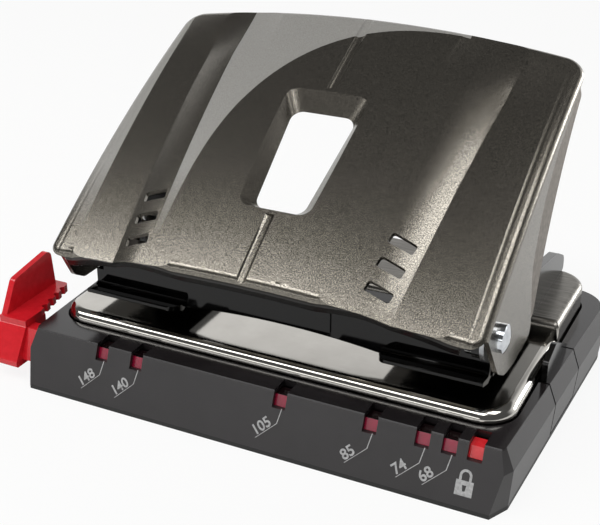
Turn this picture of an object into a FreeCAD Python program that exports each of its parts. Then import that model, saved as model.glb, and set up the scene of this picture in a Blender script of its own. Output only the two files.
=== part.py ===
"""Manual two-hole desk punch.

Millimetres.  X runs along the row of punches, with zero midway between them, Y runs from the front
edge, where the paper goes in, to the back, and Z is up from the table.  Sizes called "behind" and
"above" are measured from the front top edge of the deck.
"""
import FreeCAD, Part
import math
import os

V = FreeCAD.Vector

# ---- Housing
base_depth = 77.0         # front to rear, at the foot
deck_rim = 1.4            # deck beside the die plate, at the front
side_bevel = 1.9          # how far the side stands out below that, where its bevel begins
side_lean = 0.3           # and how far it comes back in at the foot
foot_gain = 2.3           # how much each half width grows towards the rear
shoulder_gain = 2.9
deck_gain = 3.4
deck_z = 13.0             # height of the deck
shoulder_drop = 4.5       # height of the side bevel
bevel_run = 4.9           # how far the front face leans back
front_chamfer = 2.3       # facet on each front corner, at the foot
rear_corner = 8.0         # radius of the rear corners
wall = 1.5                # walls and deck
sole_t = 1.0              # thickness of the sole under the walls
sole_rim = 4.6            # width of the sole along the front and rear walls
sole_side = 5.6           # and along the side walls

# ---- Die plate
plate_half = 53.0         # half its width
plate_front = 6.2         # its front edge, behind the deck's front edge
plate_rear = 69.2
plate_corner = 7.0        # radius of its corners
table_z = 2.5             # height of the table above the deck
plateau_z = 6.0           # height of its rear part
plate_skirt = 2.5         # how far its skirt goes down into the deck
plate_t = 1.4             # sheet
plate_gap = 0.4           # gap round it in the deck

# ---- Punches, on the standard spacing
hole_spacing = 80.0
hole_setback = 30.0       # punch line, behind the deck's front edge
stop_distance = 12.0      # from the hole's centre to the edge of the sheet
hole_r = 2.75
throat = 3.4              # gap that takes the sheets
tip_lift = 0.2            # how far the punch is drawn up into the frame
run_gap = 0.05            # radial running clearance

# ---- Frame
frame_t = 2.0             # sheet of the frame
guide_r = 4.6             # guide that each punch runs in
guide_spigot_r = 3.8      # its part in the frame
guide_height = 4.6
guide_gap = 0.2           # between guide and cheek
rivet_r = 1.6
rivet_in = 9.8            # rivets, in from the cheek's outer face
frame_front = 15.0        # its front wall, behind the deck's front edge
frame_depth = 26.0        # depth of its bottom plate
fascia_t = 1.4
fascia_top = 18.0
arch_half = 23.5          # the frame is open in the middle, over this half width
arch_rise = 1.4           # rise of the fascia's lower edge there

# ---- Handle
pivot_back = 8.8          # pivot, behind the deck's front edge
pivot_up = 18.5           # and above the deck
pin_r = 2.9               # pivot pin
lever_angle = 31.1        # slope of the handle at rest
sheet = 1.0               # sheet of the handle
crown_top = 13.4          # middle of the handle, above the lever line
crown_r = 223.0           # crown across the handle
long_r = 341.0            # crown along it
crown_mid = 29.5          # where along the lever the crown is highest
washer_t = 0.9
pin_proud = 1.9           # the pin's end, outside the flange
pin_dome = 6.0            # radius of its domed end
splay = 0.0625            # how the flanges spread downwards
handle_front = -7.4       # ends of the handle along the lever
handle_rear = 67.0
rim = 3.6                 # depth of the folded front and rear edges
fold_r = 2.0              # radius of the folds
rear_corner_r = 5.0       # corners of the handle
front_corner_r = 3.0
hollow_x = 35.2           # two wide shallow hollows along the handle
hollow_width = 19.2
hollow_depth = 1.0        # in the middle; they run out towards the rear
hollow_tilt = 1.2         # degrees
groove_width = 2.2        # and a groove between them
groove_depth = 0.6
slot_half = 2.7           # three slots in the inner edge of each hollow
slot_width = 2.4
slot_pitch = 5.6
arm_t = 1.2               # arms inside the flanges
arm_gap = 0.1
cheek_gap = 0.2           # between arm and cheek, at the pivot
stud_u = 22.5             # press stud, along the lever
stud_w = -0.5             # and above it
stud_r = 3.5
stud_neck_r = 2.0
stud_gap = 0.4            # between its head and the arm

# ---- Side guide for the paper
notches = (-36.2, -27.4, 7.3, 27.3, 38.3, 43.8, 49.0)
notch_width = 3.0
notch_back = 4.6          # notch on the deck, behind its front edge
notch_drop = 3.4          # notch on the front face, below the deck
cover = 1.0               # housing left in front of the bar and above it
slide_gap = 0.2
guide_depth = 3.6         # the bar reaches this far behind the deck's front edge
guide_drop = 8.0          # and this far below the deck
head_gap = 1.6            # between the housing's side and the bar's head
head_width = 7.3

# ---- Chip tray and side latch
hinge_r = 2.4             # barrel of the tray's hinge
rod_r = 1.0
tray_t = 1.2
tray_wall = 5.0           # height of the tray's walls
latch_front = 27.0        # latch, behind the deck's front edge
latch_rear = 43.0
latch_gap = 0.5

# ---- What follows from these
deck_front = -base_depth / 2 + bevel_run
hole_y = deck_front + hole_setback
stop_y = hole_y + stop_distance
table_top = deck_z + table_z
frame_z = table_top + throat
pivot_y = deck_front + pivot_back
pivot_z = deck_z + pivot_up
seat_z = deck_z - plate_skirt
hole_x = hole_spacing / 2
deck_half = plate_half + deck_rim
shoulder_half = deck_half + side_bevel
foot_half = shoulder_half - side_lean
door_half = foot_half - sole_side
cheek_half = hole_x + guide_r + guide_gap + frame_t
flange_x = cheek_half + cheek_gap + arm_t + arm_gap + sheet
pin_end = flange_x + pin_proud
head_inner = foot_half + head_gap
head_outer = head_inner + head_width
bar_end = notches[-1] + notch_width / 2 - slide_gap


# ---- Forms

def wire(points, radii=None):
    """Closed outline through the points, with a radius at each corner that has one."""
    count = len(points)
    radii = radii or [0] * count
    edges = []
    starts = []
    ends = []
    for i, corner in enumerate(points):
        before = (points[i - 1] - corner).normalize()
        after = (points[(i + 1) % count] - corner).normalize()
        half = before.getAngle(after) / 2
        cut = radii[i] / math.tan(half)
        starts.append(corner + before * cut)
        ends.append(corner + after * cut)
        if radii[i]:
            inward = (before + after).normalize()
            middle = corner + inward * (radii[i] / math.sin(half) - radii[i])
            edges.append(Part.Arc(starts[i], middle, ends[i]).toShape())
        edges.append(None)
    gaps = [i for i, edge in enumerate(edges) if edge is None]
    for number, place in enumerate(gaps):
        following = starts[(number + 1) % count]
        edges[place] = Part.LineSegment(ends[number], following).toShape()
    return Part.Wire(edges)


def prism(points, radii, sweep):
    return Part.Face(wire(points, radii)).extrude(sweep)


def box(x0, x1, y0, y1, z0, z1):
    return Part.makeBox(x1 - x0, y1 - y0, z1 - z0, V(x0, y0, z0))


def rectangle(x0, x1, y0, y1, z=0.0):
    return [V(x0, y0, z), V(x1, y0, z), V(x1, y1, z), V(x0, y1, z)]


def rod(r, base, sweep):
    return Part.makeCylinder(r, sweep.Length, base, sweep)


def behind(y, z, x=0):
    """A point measured from the deck's front edge."""
    return V(x, deck_front + y, deck_z + z)


def mirrored(shape):
    return shape.mirror(V(0, 0, 0), V(1, 0, 0))


def save(shape, name):
    shape.exportStep("parts/" + name + ".step")


def save_pair(shape, name):
    save(shape, name + "_right")
    save(mirrored(shape), name + "_left")


# ---- Housing

def level(z):
    """Half widths at the front and rear of the housing, and its front edge, at one height."""
    steps = [
        (sole_t, foot_half, foot_gain),
        (deck_z - shoulder_drop, shoulder_half, shoulder_gain),
        (deck_z, deck_half, deck_gain),
    ]
    low, high = (steps[0], steps[1]) if z <= steps[1][0] else (steps[1], steps[2])
    share = (z - low[0]) / (high[0] - low[0])
    half = low[1] + (high[1] - low[1]) * share
    gain = low[2] + (high[2] - low[2]) * share
    lean = (deck_z - z) / (deck_z - sole_t)
    return half, half + gain, deck_front - bevel_run * lean, lean


def housing_wire(z, inset=0.0):
    half_front, half_rear, front, lean = level(z)
    facet = front_chamfer * (0.25 + 0.75 * lean)
    depth = bevel_run * (0.2 + 0.75 * lean)
    rear = base_depth / 2 - inset
    right = [
        V(half_front - facet - inset, front + inset, z),
        V(half_front - inset, front + depth + inset, z),
        V(half_rear - inset, rear, z),
    ]
    left = [V(-p.x, p.y, z) for p in reversed(right)]
    corner = rear_corner - inset
    return wire(right + left, [0, 0, corner, corner, 0, 0])


def housing_body(inset, top):
    heights = [sole_t, deck_z - shoulder_drop, top]
    return Part.makeLoft([housing_wire(z, inset) for z in heights], True, True)


def plate_points(z, inset=0.0, front=None):
    front = deck_front + plate_front if front is None else front
    half = plate_half - inset
    rear = deck_front + plate_rear - inset
    return rectangle(-half, half, front + inset, rear, z)


def bar_points(x, grow=0.0):
    """Section of the guide bar, or of its channel, behind the front face."""
    inside = cover + slide_gap - grow
    slope = bevel_run / (deck_z - sole_t)
    low = guide_drop + grow
    return [
        behind(inside - slope * inside, -inside, x),
        behind(guide_depth + grow, -inside, x),
        behind(guide_depth + grow, -low, x),
        behind(inside - slope * low, -low, x),
    ]


def notch_cut(x):
    slope = bevel_run / (deck_z - sole_t)
    outline = [
        behind(notch_back, 1, x),
        behind(notch_back, -wall - 0.1, x),
        behind(wall + 0.4 - slope * notch_drop, -notch_drop, x),
        behind(-slope * notch_drop - 1, -notch_drop, x),
        behind(-2, 1, x),
    ]
    cut = prism(outline, None, V(notch_width, 0, 0))
    cut.translate(V(-notch_width / 2, 0, 0))
    return cut


latch_y0 = deck_front + latch_front
latch_y1 = deck_front + latch_rear
latch_foot = sole_t + 0.4
latch_axis = V(level(3.5)[0] + 1.3 - wall - 1.4, 0, 3.5)
screw_spots = [(sx * (door_half + foot_half) / 2, deck_front + y) for sx in (-1, 1) for y in (9, 58)]


def base_housing():
    body = housing_body(0, deck_z).cut(housing_body(wall, deck_z - wall))
    # Ledge that carries the die plate
    ledge = Part.Face(housing_wire(seat_z - 1.6, wall / 2)).extrude(V(0, 0, 1.6))
    hole = prism(plate_points(seat_z - 2, 2.4), [plate_corner - 2.4] * 4, V(0, 0, 3))
    channel = box(-foot_half, foot_half, -base_depth, deck_front + plate_front + 1, 0, deck_z)
    body = body.fuse(ledge.cut(hole).cut(channel))
    for x, y in screw_spots:
        body = body.fuse(rod(2.3, V(x, y, sole_t), V(0, 0, seat_z - 1 - sole_t)))
    opening = prism(
        plate_points(seat_z, -plate_gap), [plate_corner + plate_gap] * 4, V(0, 0, plate_skirt + 1)
    )
    body = body.cut(opening)
    for x, y in screw_spots:
        body = body.cut(rod(1.0, V(x, y, sole_t), V(0, 0, 7)))
    for x in notches:
        body = body.cut(notch_cut(x))
    # Channel for the guide bar, open at the left
    length = head_outer + bar_end + slide_gap
    body = body.cut(prism(bar_points(-head_outer, slide_gap), None, V(length, 0, 0)))
    # Gap for the side latch, and the ears of its pin
    gap = box(
        plate_half + plate_gap - 6, 70, latch_y0 - latch_gap, latch_y1 + latch_gap, sole_t, deck_z + 1
    )
    body = body.cut(gap)
    for y in (latch_y0 - latch_gap - 2.5, latch_y1 + latch_gap):
        centre = V(latch_axis.x, y, latch_axis.z)
        ear = rod(1.7, centre, V(0, 2.5, 0)).fuse(
            box(centre.x, centre.x + 2, y, y + 2.5, centre.z - 1.7, centre.z + 1.7)
        )
        body = body.fuse(ear).cut(rod(0.8 + run_gap, centre - V(0, 1, 0), V(0, 5, 0)))
    return body.removeSplitter()


def side_latch():
    """The loose stretch of side wall, with its hinge barrel."""
    shell = housing_body(0, deck_z).cut(housing_body(wall, deck_z - wall))
    part = shell.common(box(plate_half + plate_gap + 0.3, 70, latch_y0, latch_y1, latch_foot, deck_z))
    centre = V(latch_axis.x, latch_y0 + 3, latch_axis.z)
    length = latch_y1 - latch_y0 - 6
    barrel = rod(1.7, centre, V(0, length, 0))
    web = box(centre.x, centre.x + 2.4, centre.y, centre.y + length, centre.z - 1.0, centre.z + 1.7)
    part = part.fuse(web).fuse(barrel)
    return part.cut(rod(0.8 + run_gap, centre - V(0, 5, 0), V(0, length + 10, 0))).removeSplitter()


def latch_thumb():
    """Thumb piece that stands on the latch beside the die plate."""
    x = plate_half + plate_gap + 0.3
    outline = [
        behind(latch_front, 0, x),
        behind(latch_front, 4.7, x),
        behind(latch_front + 6, 6.5, x),
        behind(latch_rear, 1.2, x),
        behind(latch_rear, 0, x),
    ]
    return prism(outline, [0, 1, 3, 0.5, 0], V(1.2, 0, 0))


def base_sole():
    """Black frame under the walls, which the punch stands on."""
    outer = Part.Face(housing_wire(sole_t)).extrude(V(0, 0, -sole_t))
    front = -base_depth / 2 + sole_rim
    hole = prism(rectangle(-door_half, door_half, front, -front, -1), [2] * 4, V(0, 0, 3))
    sole = outer.cut(hole)
    for x, y in screw_spots:
        sole = sole.cut(rod(1.2, V(x, y, 0), V(0, 0, sole_t)))
        sole = sole.cut(rod(2.0, V(x, y, 0), V(0, 0, 0.6)))
    for y in (front - 1, -front - 3):
        lug = box(hinge_x - hinge_r, hinge_x + hinge_r, y, y + 4, 0.3, hinge_z)
        lug = lug.fuse(rod(hinge_r, V(hinge_x, y, hinge_z), V(0, 4, 0)))
        sole = sole.fuse(lug)
    return sole.cut(rod(rod_r + 0.02, V(hinge_x, front - 3, hinge_z), V(0, base_depth, 0))).removeSplitter()


hinge_z = hinge_r
hinge_x = -door_half + hinge_r + 0.4


def chip_tray():
    """Tray under the dies, which swings down about its left edge."""
    end = base_depth / 2 - sole_rim - 3 - 0.4
    right = door_half - 0.6
    floor = box(hinge_x, right, -end, end, 0, tray_t)
    for y in (-end, end - tray_t):
        floor = floor.fuse(box(hinge_x + hinge_r + 1, right, y, y + tray_t, 0, tray_wall))
    floor = floor.fuse(box(right - tray_t, right, -end, end, 0, tray_wall))
    floor = floor.fuse(box(hinge_x + hinge_r + 1, hinge_x + hinge_r + 1 + tray_t, -end, end, 0, tray_wall))
    floor = floor.fuse(rod(hinge_r, V(hinge_x, -end, hinge_z), V(0, 2 * end, 0)))
    bore = rod(rod_r + run_gap, V(hinge_x, -end - 1, hinge_z), V(0, 2 * end + 2, 0))
    return floor.cut(bore).removeSplitter()


# ---- Die plate

def plate_body(inset):
    """The plate's outer form, or the hollow under it."""
    foot = seat_z - (1 if inset else 0)
    corner = plate_corner - inset
    table = prism(plate_points(foot, inset), [corner] * 4, V(0, 0, table_top - inset - foot))
    rise = prism(
        plate_points(foot, inset, stop_y), [0.8, 0.8, corner, corner],
        V(0, 0, deck_z + plateau_z - inset - foot),
    )
    if not inset:
        table = table.makeFillet(2.2, top_edges(table, table_top))
        rise = rise.makeFillet(1.6, top_edges(rise, deck_z + plateau_z))
    return table.fuse(rise)


def top_edges(shape, z):
    return [
        edge for edge in shape.Edges
        if abs(edge.BoundBox.ZMin - z) < 0.01 and abs(edge.BoundBox.ZMax - z) < 0.01
    ]


die_r = 5.0
die_depth = 5.5


def die_plate():
    plate = plate_body(0).cut(plate_body(plate_t))
    for side in (-1, 1):
        plate = plate.cut(rod(die_r, V(side * hole_x, hole_y, seat_z), V(0, 0, 10)))
        for x, y in rivet_spots:
            plate = plate.cut(rod(rivet_r + run_gap, behind(y, 0, side * x), V(0, 0, plateau_z + 1)))
    return plate.removeSplitter()


def die_bush():
    bush = rod(die_r - run_gap, V(hole_x, hole_y, table_top - die_depth), V(0, 0, die_depth))
    collar = rod(die_r + 1.2, V(hole_x, hole_y, table_top - plate_t - 1.5), V(0, 0, 1.5))
    bore = rod(hole_r + run_gap, V(hole_x, hole_y, 0), V(0, 0, table_top + 1))
    relief = rod(hole_r + 0.8, V(hole_x, hole_y, 0), V(0, 0, table_top - 2.5))
    return bush.fuse(collar).cut(bore).cut(relief)


# ---- Punch frame

rivet_spots = [(cheek_half - rivet_in, 50.0), (cheek_half - rivet_in, 62.0)]


def punch_frame():
    """Bent channel: bottom plate with the guides, front wall, and cheeks with the pivot's ears."""
    low = frame_z - deck_z
    plate_z = frame_z
    bottom = box(
        -cheek_half, cheek_half, deck_front + frame_front, deck_front + frame_front + frame_depth,
        plate_z, plate_z + frame_t,
    )
    front = box(
        -cheek_half, cheek_half, deck_front + frame_front, deck_front + frame_front + frame_t,
        plate_z, deck_z + fascia_top,
    )
    frame = bottom.fuse(front)
    x = cheek_half - frame_t
    cheek_line = [
        behind(frame_front, low, x),
        behind(frame_front, pivot_up - 6, x),
        behind(pivot_back - 3.5, pivot_up - 4.2, x),
        behind(pivot_back - 3.5, pivot_up + 4.2, x),
        behind(pivot_back + 5, pivot_up + 4.2, x),
        behind(22, 17.9, x),
        behind(47.4, 15.8, x),
        behind(61.8, 13.2, x),
        behind(69.0, 9.6, x),
        behind(69.0, plateau_z, x),
        behind(42.6, plateau_z, x),
        behind(41.0, low, x),
    ]
    cheek = prism(cheek_line, [0, 2, 3, 3, 3, 3, 12, 8, 3, 1, 0, 0], V(frame_t, 0, 0))
    foot = box(
        cheek_half - rivet_in - rivet_r * 2, x + frame_t / 2, deck_front + 46, deck_front + 66,
        deck_z + plateau_z, deck_z + plateau_z + frame_t,
    )
    cheek = cheek.fuse(foot)
    for rx, ry in rivet_spots:
        cheek = cheek.cut(rod(rivet_r + run_gap, behind(ry, 0, rx), V(0, 0, 12)))
    cheek = cheek.cut(rod(pin_r + run_gap, V(x - 1, pivot_y, pivot_z), V(frame_t + 2, 0, 0)))
    frame = frame.fuse(cheek).fuse(mirrored(cheek))
    frame = frame.cut(box(
        -arch_half, arch_half, deck_front + frame_front - 1, deck_front + frame_front + frame_depth + 1,
        plate_z - 1, plate_z + frame_t,
    ))
    for side in (-hole_x, hole_x):
        frame = frame.cut(rod(guide_spigot_r + run_gap, V(side, hole_y, plate_z - 1), V(0, 0, 4)))
    return frame.removeSplitter()


def punch_guide():
    base = V(hole_x, hole_y, frame_z)
    guide = rod(guide_spigot_r, base, V(0, 0, frame_t))
    guide = guide.fuse(rod(guide_r, base + V(0, 0, frame_t), V(0, 0, guide_height)))
    return guide.cut(rod(hole_r + run_gap, base - V(0, 0, 1), V(0, 0, 20)))


def front_fascia():
    """Moulded cover on the front wall, with the two lips that lead the paper in."""
    low = frame_z - deck_z
    half = cheek_half - 0.3
    y0 = frame_front - fascia_t
    front = deck_front + y0
    top = deck_z + fascia_top
    line = [
        V(-half, front, frame_z), V(-arch_half, front, frame_z), V(arch_half, front, frame_z),
        V(half, front, frame_z), V(half, front, top), V(-half, front, top),
    ]
    edges = [Part.LineSegment(line[i - 1], line[i]).toShape() for i in range(len(line)) if i != 2]
    edges.insert(2, Part.Arc(line[1], V(0, front, frame_z + arch_rise), line[2]).toShape())
    fascia = Part.Face(Part.Wire(edges)).extrude(V(0, fascia_t, 0))
    panel = box(-12, 12, front - 0.4, front + 0.4, frame_z + 2.2, top - 0.5)
    fascia = fascia.fuse(panel)
    lip_line = [
        behind(y0 + 0.6, low, arch_half),
        behind(y0 - 0.6, low - 0.6, arch_half),
        behind(9.5, low + 0.4, arch_half),
        behind(9.5, low + 1.4, arch_half),
        behind(y0 - 0.4, low + 0.9, arch_half),
        behind(y0 + 0.6, low + 3, arch_half),
    ]
    lip = prism(lip_line, [0, 1, 0.3, 0.3, 1, 0], V(half - arch_half, 0, 0))
    inner = arch_half
    plan = [behind(9, 0, inner), behind(9, 0, half + 1), behind(y0 + 1, 0, half), behind(y0 + 1, 0, inner)]
    lip = lip.common(prism(plan, [4, 1.5, 0, 0], V(0, 0, 15)))
    fascia = fascia.fuse(lip).fuse(mirrored(lip))
    inside = cheek_half - frame_t - 0.2
    ear = box(inside, inside + 15, front - 1, front + 3, deck_z + pivot_up - 8.0, deck_z + 30)
    return fascia.cut(ear).cut(mirrored(ear)).removeSplitter()


def frame_rivet(x, y):
    base = behind(y, plateau_z, x)
    stem = rod(rivet_r, base - V(0, 0, plate_t), V(0, 0, plate_t + frame_t))
    head = Part.makeCone(rivet_r * 1.7, rivet_r, rivet_r * 0.8, base + V(0, 0, frame_t))
    return stem.fuse(head)


# ---- Pivot

def pivot_pin():
    start = V(cheek_half - frame_t - 1.2, pivot_y, pivot_z)
    pin = rod(pin_r, start, V(pin_end - start.x, 0, 0))
    dome = Part.makeSphere(pin_dome, V(pin_end - pin_dome, pivot_y, pivot_z))
    collar = rod(pin_r + 1.4, start, V(1.2, 0, 0))
    return pin.common(dome.fuse(rod(pin_r + 1, start, V(flange_x - start.x, 0, 0)))).fuse(collar)


def pivot_washer():
    base = V(cheek_half, pivot_y, pivot_z)
    return rod(5.0, base, V(washer_t, 0, 0)).cut(rod(pin_r + run_gap, base, V(washer_t, 0, 0)))


# ---- Handle, made in its own frame: Y along the lever, Z square to it, the pivot at zero

def on_lever(shape):
    shape.rotate(V(0, 0, 0), V(1, 0, 0), lever_angle)
    shape.translate(V(0, pivot_y, pivot_z))
    return shape


axis_w = crown_top - long_r
rim_half = cheek_half - 2.8  # the folded rims end here, inside the flanges


def crown_body(inset, floor=-21.0):
    """Solid under the crown, set in from the outer skin."""
    radius = crown_r - inset
    centre = crown_top - crown_r
    edge_x = flange_x - inset * math.hypot(1, splay)
    w = 8.0
    for _ in range(6):
        w = centre + math.sqrt(radius ** 2 - (edge_x - splay * w) ** 2)
    top = V(edge_x - splay * w, crown_mid, w)
    foot = V(edge_x - splay * floor, crown_mid, floor)
    crest = V(0, crown_mid, centre + radius)
    section = Part.Wire([
        Part.Arc(V(-top.x, top.y, top.z), crest, top).toShape(),
        Part.LineSegment(top, foot).toShape(),
        Part.LineSegment(foot, V(-foot.x, foot.y, foot.z)).toShape(),
        Part.LineSegment(V(-foot.x, foot.y, foot.z), V(-top.x, top.y, top.z)).toShape(),
    ])
    face = Part.Face(section)
    axis = V(0, crown_mid, axis_w)
    face.rotate(axis, V(1, 0, 0), -8)
    return face.revolve(axis, V(1, 0, 0), 16)


def handle_form(inset):
    """The handle's form, set in from the skin, with round corners; the skin itself has round folds."""
    side = flange_x + 10
    ends = box(-side, side, handle_front + inset, handle_rear - inset, -30, 30)
    form = crown_body(inset).common(ends).Solids[0]
    for radius, low, high in ((rear_corner_r, crown_mid, 99), (front_corner_r, -99, crown_mid)):
        upright = [
            edge for edge in form.Edges
            if edge.BoundBox.ZLength > 15 and low < edge.BoundBox.YMin and edge.BoundBox.YMax < high
        ]
        form = form.makeFillet(radius - inset, upright)
    if inset == 0:
        crown = max(form.Faces, key=lambda face: face.Area * (face.BoundBox.ZMin > 0))
        form = form.makeFillet(fold_r, crown.OuterWire.Edges)
    return form


def trough(x, width, depth, tilt, grow):
    """Ring that presses a long shallow groove into the crown, deeper at one end if it is tilted."""
    r = ((width / 2) ** 2 + depth ** 2) / (2 * depth)
    crest = crown_top - crown_r + math.sqrt(crown_r ** 2 - x ** 2)
    ring = Part.makeTorus(crest - depth + r - axis_w, r + grow, V(x, crown_mid, axis_w), V(1, 0, 0))
    ring.rotate(V(x, crown_mid, crest), V(1, 0, 0), tilt)
    return ring


def window_wire(w, grow):
    share = (crown_top - 0.4 - w) / 2.7
    wide = 9.6 - 2.1 * share + grow
    narrow = 8.2 - 2.7 * share + grow
    far = 42.0 - 4.0 * share + grow
    near = 9.9 + 1.6 * share - grow
    corners = [V(-narrow, near, w), V(narrow, near, w), V(wide, far, w), V(-wide, far, w)]
    return wire(corners, [2.6 + grow] * 4)


def funnel(grow):
    return Part.makeLoft([window_wire(crown_top + 1, grow), window_wire(crown_top - 3.1, grow)], True, True)


def flange_cut():
    """What is cut away below the steel of one side."""
    below = -30
    ear = [(handle_front - 3.4, 5.8), (-4.4, 5.8), (-4.5, -6.3), (-2.4, -10.1), (2.1, -13.0)]
    sweep = [(12.2, -17.0), (19.3, -4.6), (30.5, 2.2), (43.0, 4.8), (handle_rear + 4.2, 5.4)]
    ends = [(handle_rear + 4.2, below), (handle_front - 3.4, below)]
    outline = [V(rim_half, u, w) for u, w in ear + sweep + ends]
    return prism(outline, [0, 1, 3, 3, 4, 3.2, 9, 30, 20, 0, 0, 0], V(16, 0, 0))


def handle_shell():
    grooves = [(0, groove_width, groove_depth, 0)]
    for side in (-1, 1):
        grooves.append((side * hollow_x, hollow_width, hollow_depth, hollow_tilt))
    shell = handle_form(0)
    inner = handle_form(sheet)
    for groove in grooves:
        shell = shell.cut(trough(*groove, 0))
        inner = inner.cut(trough(*groove, sheet))
    shell = shell.cut(inner)
    below = crown_body(rim).common(box(-rim_half, rim_half, -20, 80, -30, 30))
    shell = shell.cut(below)
    shell = shell.cut(flange_cut()).cut(mirrored(flange_cut()))
    collar = funnel(sheet).common(crown_body(0))
    shell = shell.fuse(collar).cut(funnel(0))
    outline = rectangle(-slot_half, slot_half, -slot_width / 2, slot_width / 2)
    for side in (-1, 1):
        for number in range(3):
            slot = prism(outline, [0.5] * 4, V(0, 0, 14))
            slot.rotate(V(0, 0, 0), V(0, 0, 1), -12 * side)
            slot.translate(V(side * (27.0 + 0.5 * number), -1.7 + slot_pitch * number, 4))
            shell = shell.cut(slot)
    shell = shell.cut(rod(pin_r + run_gap, V(-60, 0, 0), V(120, 0, 0)))
    return on_lever(shell)


def lever_arm():
    """Arm of thicker sheet inside one flange; it carries the press stud."""
    top = 5.2
    end = 64.5
    toe = [V(rim_half, 8, top), V(rim_half, 8, -8), V(rim_half, 14.6, -16.8)]
    heel = [V(rim_half, 17.9, -17.5), V(rim_half, end, -0.2), V(rim_half, end, top)]
    outline = Part.Wire([
        Part.LineSegment(toe[0], toe[1]).toShape(),
        Part.LineSegment(toe[1], toe[2]).toShape(),
        Part.Arc(toe[2], V(rim_half, 16.0, -17.7), heel[0]).toShape(),
        Part.Arc(heel[0], V(rim_half, 40.7, -6.2), heel[1]).toShape(),
        Part.LineSegment(heel[1], heel[2]).toShape(),
        Part.LineSegment(heel[2], toe[0]).toShape(),
    ])
    profile = Part.Face(outline).extrude(V(16, 0, 0))
    outer = sheet + arm_gap
    arm = handle_form(outer).cut(handle_form(outer + arm_t)).common(profile)
    arm = arm.cut(rod(stud_neck_r + run_gap, V(hole_x, stud_u, stud_w), V(20, 0, 0)))
    return on_lever(arm)


def press_stud():
    """Stud on the arm that bears on the punch."""
    start = V(hole_x - 5.5, stud_u, stud_w)
    end = V(cheek_half + cheek_gap - stud_gap, stud_u, stud_w)
    neck = rod(stud_neck_r, end - V(1, 0, 0), V(1 + stud_gap + arm_t, 0, 0))
    return on_lever(rod(stud_r, start, end - start).fuse(neck))


# ---- Punches

angle = math.radians(lever_angle) + math.atan2(stud_w, stud_u)
stud_height = pivot_z + math.hypot(stud_u, stud_w) * math.sin(angle)
cap_top = stud_height - stud_r - 0.15
cap_t = 2.0
cap_r = 5.0
neck_r = 1.8
tip_z = frame_z + tip_lift


def punch_pin():
    base = V(hole_x, hole_y, tip_z)
    pin = rod(hole_r, base, V(0, 0, cap_top - cap_t - tip_z))
    pin = pin.fuse(rod(neck_r, base, V(0, 0, cap_top - 0.5 - tip_z)))
    # Vee that makes the cutting edges
    vee = prism(
        [V(-4, 0, -0.1), V(0, 0, 1.4), V(4, 0, -0.1)], None, V(0, 8, 0)
    )
    vee.translate(base - V(0, 4, 0))
    return pin.cut(vee)


def punch_cap():
    base = V(hole_x, hole_y, cap_top - cap_t)
    cap = rod(cap_r, base, V(0, 0, cap_t))
    cap = cap.makeChamfer(0.5, top_edges(cap, cap_top))
    return cap.cut(rod(neck_r + 0.02, base, V(0, 0, cap_t - 0.5)))


def return_spring():
    """Coil round the punch, in short straight lengths of a many-sided wire."""
    start = frame_z + frame_t + guide_height
    turns = 4
    steps = 14
    wire_r = 0.45
    coil_r = 3.7
    low = start + wire_r
    rise = cap_top - cap_t - wire_r - low
    path = []
    for i in range(turns * steps + 1):
        turn = 2 * math.pi * i / steps
        z = low + rise * i / (turns * steps)
        path.append(V(hole_x + coil_r * math.cos(turn), hole_y + coil_r * math.sin(turn), z))
    ring = Part.Wire(Part.makePolygon([
        path[0] + V(math.cos(a), 0, math.sin(a)) * wire_r
        for a in [2 * math.pi * k / 6 for k in range(7)]
    ]))
    return Part.Wire(Part.makePolygon(path)).makePipeShell([ring], True, False, 1)


# ---- Side guide

def guide_bar():
    """Red slide: bar behind the front face, head and fin outside the left wall."""
    start = -head_outer + 1.4
    bar = prism(bar_points(start), None, V(bar_end - start, 0, 0))
    block = prism(
        [behind(0.3, -0.9), behind(-4.2, -8.0), behind(-4.2, -9.4), behind(7.5, -9.4), behind(7.5, -0.9)],
        [0.6, 0.6, 0.6, 0.6, 0], V(head_outer - head_inner, 0, 0),
    )
    block.translate(V(-head_outer, 0, 0))
    shelf = prism(
        [
            behind(0.3, -1.4, -head_outer), behind(0.3, -1.4, -head_inner), behind(6, -1.4, -head_inner),
            behind(20.5, -1.4, -head_inner - 3), behind(20.5, -1.4, -head_outer),
        ],
        [0, 0, 2, 1, 0.6], V(0, 0, 1.9),
    )
    for y in (8.5, 11.5, 14.5, 17.5):
        shelf = shelf.cut(rod(0.8, behind(y, -2, -head_inner - 0.195 * (y - 5.5)), V(0, 0, 4)))
    fin = prism(
        [
            behind(0.5, -1.4, -head_outer), behind(0.5, -0.6, -head_outer), behind(5.2, 7.6, -head_outer),
            behind(18.6, 9.6, -head_outer), behind(19.6, -1.4, -head_outer),
        ],
        [0, 0, 1.6, 1.6, 0], V(1.5, 0, 0),
    )
    return bar.fuse(block).fuse(shelf).fuse(fin).removeSplitter()


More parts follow.
